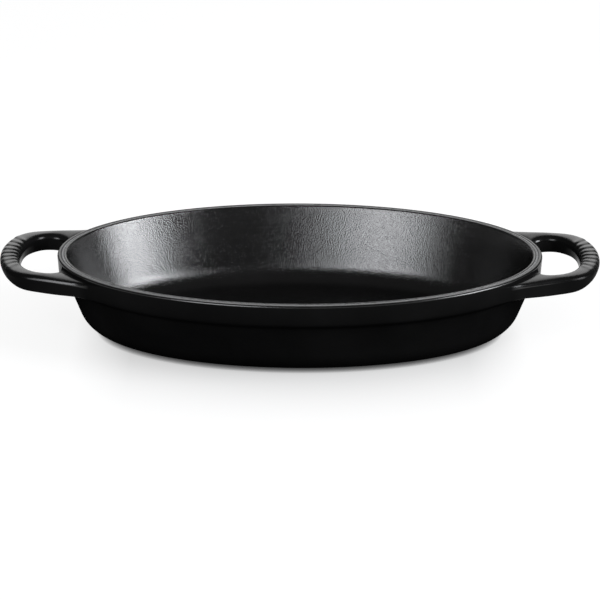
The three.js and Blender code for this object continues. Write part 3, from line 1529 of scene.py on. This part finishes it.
@dataclass(frozen=True)
class Softbox:
    """A soft lamp that faces the dish, in metres and degrees."""

    name: str
    azimuth: float  # from the viewer round to the right
    watts: float
    width: float
    height: float = 2.3
    elevation: float = 24.0
    distance: float = 3.2
    tint: tuple[float, float, float] = (0.955, 0.97, 1.0)

    def build(self) -> bpy.types.Object:
        """Makes the lamp.

        Returns:
            The lamp.
        """
        data = bpy.data.lights.new(self.name, "AREA")
        data.shape = "RECTANGLE"
        data.size = self.width
        data.size_y = self.height
        data.energy = self.watts
        data.color = self.tint
        lamp = bpy.data.objects.new(self.name, data)
        bpy.context.scene.collection.objects.link(lamp)
        a, e = math.radians(self.azimuth), math.radians(self.elevation)
        back = Vector((math.sin(a) * math.cos(e), -math.cos(a) * math.cos(e), math.sin(e)))
        lamp.location = back * self.distance
        lamp.rotation_euler = (-back).to_track_quat("-Z", "Y").to_euler()
        lamp.visible_camera = False
        return lamp


@dataclass(frozen=True)
class Studio:
    """A plain pale floor, soft lamps and a dim room, in metres and degrees."""

    floor_size: float = 12.0
    floor_parts: int = 8
    floor_tone: float = 0.2
    floor_lift: float = 0.92  # how white the floor looks on top of its tone
    contact_reach: float = 0.004  # of the dark shadow where the dish stands
    shade_reach: float = 0.11  # of the faint shadow round the body
    shade_depth: float = 0.5
    shade_rest: float = 0.1  # its depth beyond both ends
    shade_ends: tuple[float, float] = (0.125, 0.17)  # along X, where it grows fainter
    room: float = 0.05
    backdrop: float = 1.0
    backdrop_top: float = 36.0  # elevation of its upper edge
    backdrop_edge: float = 0.12  # softness of that edge
    backdrop_depth: tuple[float, float] = (0.6, 0.8)  # how far behind it starts
    backdrop_sides: tuple[float, float] = (0.34, 0.12)  # how far it fades to both sides
    horizon_top: float = 4.0  # elevation of the white line at the floor's far edge
    lamps: tuple[Softbox, ...] = (
        Softbox("right_softbox", azimuth=71, watts=98, width=1.38),
        Softbox("left_softbox", azimuth=-28, watts=55, width=1.45),
    )

    def build(self) -> None:
        """Makes the floor, the lamps and the room's own light."""
        self.build_floor()
        for lamp in self.lamps:
            lamp.build()
        self.build_room()

    def build_floor(self) -> None:
        """Makes the floor, which looks white apart from the dish's shadow."""
        bm = bmesh.new()
        parts = self.floor_parts
        bmesh.ops.create_grid(bm, x_segments=parts, y_segments=parts, size=self.floor_size)
        mesh = bpy.data.meshes.new("floor")
        bm.to_mesh(mesh)
        bm.free()
        floor = bpy.data.objects.new("floor", mesh)
        bpy.context.scene.collection.objects.link(floor)
        material = bpy.data.materials.new("pale_floor")
        material.use_nodes = True
        material.node_tree.nodes.clear()
        nodes = Nodes(material.node_tree, Space.PIECE)
        paint = nodes.add("ShaderNodeBsdfDiffuse")
        paint.inputs["Color"].default_value = (self.floor_tone,) * 3 + (1,)
        glow = nodes.add("ShaderNodeEmission")
        white = nodes.product(self.white_rays(nodes), self.shadow(nodes))
        nodes.link(white, glow.inputs["Strength"])
        both = nodes.add("ShaderNodeAddShader")
        nodes.link(paint.outputs[0], both.inputs[0])
        nodes.link(glow.outputs[0], both.inputs[1])
        nodes.link(both.outputs[0], nodes.add("ShaderNodeOutputMaterial").inputs["Surface"])
        mesh.materials.append(material)

    def white_rays(self, nodes: Nodes) -> bpy.types.NodeSocket:
        """Works out the floor's whiteness to the camera, and in gloss and glass.

        Args:
            nodes: the floor's nodes.

        Returns:
            The whiteness.
        """
        path = nodes.add("ShaderNodeLightPath").outputs
        seen = nodes.joined(Sum.LARGER, path["Is Camera Ray"], path["Is Glossy Ray"])
        seen = nodes.joined(Sum.LARGER, seen, path["Is Transmission Ray"])
        return nodes.product(seen, self.floor_lift)

    def shadow(self, nodes: Nodes) -> bpy.types.NodeSocket:
        """Works out the dish's shadow, dark at the contact and faint round the body.

        Args:
            nodes: the floor's nodes.

        Returns:
            The share of the floor's whiteness that is left.
        """
        clear = []
        for reach in (self.contact_reach, self.shade_reach):
            shade = nodes.add("ShaderNodeAmbientOcclusion")
            shade.inputs["Distance"].default_value = reach
            clear.append(shade.outputs["AO"])
        contact, around = clear
        away = nodes.joined(Sum.SIZE, nodes.x)
        depth = nodes.ranged(away, *self.shade_ends, self.shade_depth, self.shade_rest)
        faint = nodes.product(nodes.joined(Sum.LESS, 1.0, around), depth)
        return nodes.product(contact, nodes.joined(Sum.LESS, 1.0, faint))

    def build_room(self) -> None:
        """Makes a dim room, with a white backdrop low behind the dish and a white horizon."""
        world = bpy.data.worlds.new("room")
        bpy.context.scene.world = world
        world.use_nodes = True
        nodes = Nodes(world.node_tree, Space.DIRECTION)
        top = math.sin(math.radians(self.backdrop_top))
        line = math.sin(math.radians(self.horizon_top))
        low = nodes.ranged(nodes.z, top, top - self.backdrop_edge, ease=True)
        behind = nodes.ranged(nodes.y, *self.backdrop_depth, ease=True)
        aside = nodes.joined(Sum.SIZE, nodes.x)
        across = nodes.ranged(aside, *self.backdrop_sides, ease=True)
        horizon = nodes.ranged(nodes.z, line, line / 2, ease=True)
        white = nodes.joined(Sum.LARGER, nodes.product(low, behind, across), horizon)
        back = world.node_tree.nodes["Background"].inputs
        back["Color"].default_value = (1, 1, 1, 1)
        nodes.link(nodes.ranged(white, 0, 1, self.room, self.backdrop), back["Strength"])


def main() -> None:
    """Builds the dish, the studio and the camera, and reports each piece."""
    logging.basicConfig(level=logging.INFO, format="%(name)s: %(message)s")
    dish = Dish()
    parts = (dish.build_casting, dish.build_outside, dish.build_inside, dish.build_base)
    for build in parts:
        piece = build()
        LOG.info("%s: %d faces before its modifiers", piece.name, len(piece.data.polygons))
    Studio().build()
    View().build()
    bpy.context.scene.view_settings.view_transform = "Standard"


if __name__ == "__main__":
    main()
